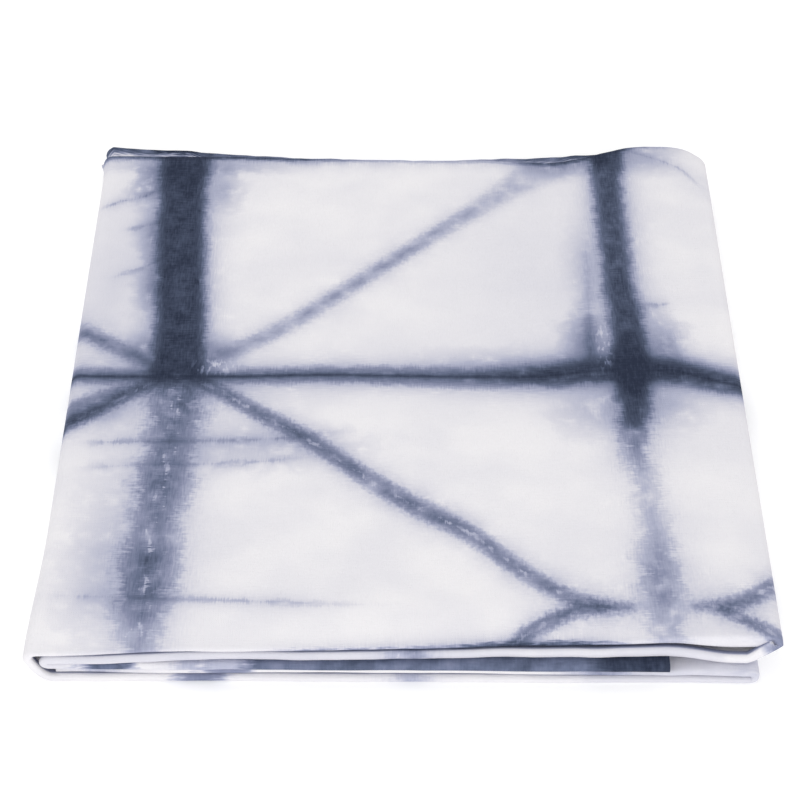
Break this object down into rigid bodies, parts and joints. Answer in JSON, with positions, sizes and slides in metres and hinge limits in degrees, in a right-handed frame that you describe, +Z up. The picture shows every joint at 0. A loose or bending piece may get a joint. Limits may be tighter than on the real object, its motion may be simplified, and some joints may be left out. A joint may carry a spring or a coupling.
{
  "type": "folded tablecloth",
  "caption": "Shibori-dyed cotton tablecloth folded to a flat square pack, with soft rounded folds at its front edge.",
  "frame": {"origin": "centre of the pack's footprint, on the surface that it lies on", "axes": "+Z up; -Y towards the pack's front, where the lengthwise folds show; +X to the right seen from the front"},
  "size_m": [0.3816, 0.3966, 0.0263],
  "materials": {
    "dyed_cotton": "plain woven cotton, matt, white with indigo-grey shibori dyeing"
  },
  "bodies": {
    "root": {"tablecloth": "dyed_cotton"}
  },
  "joints": []
}
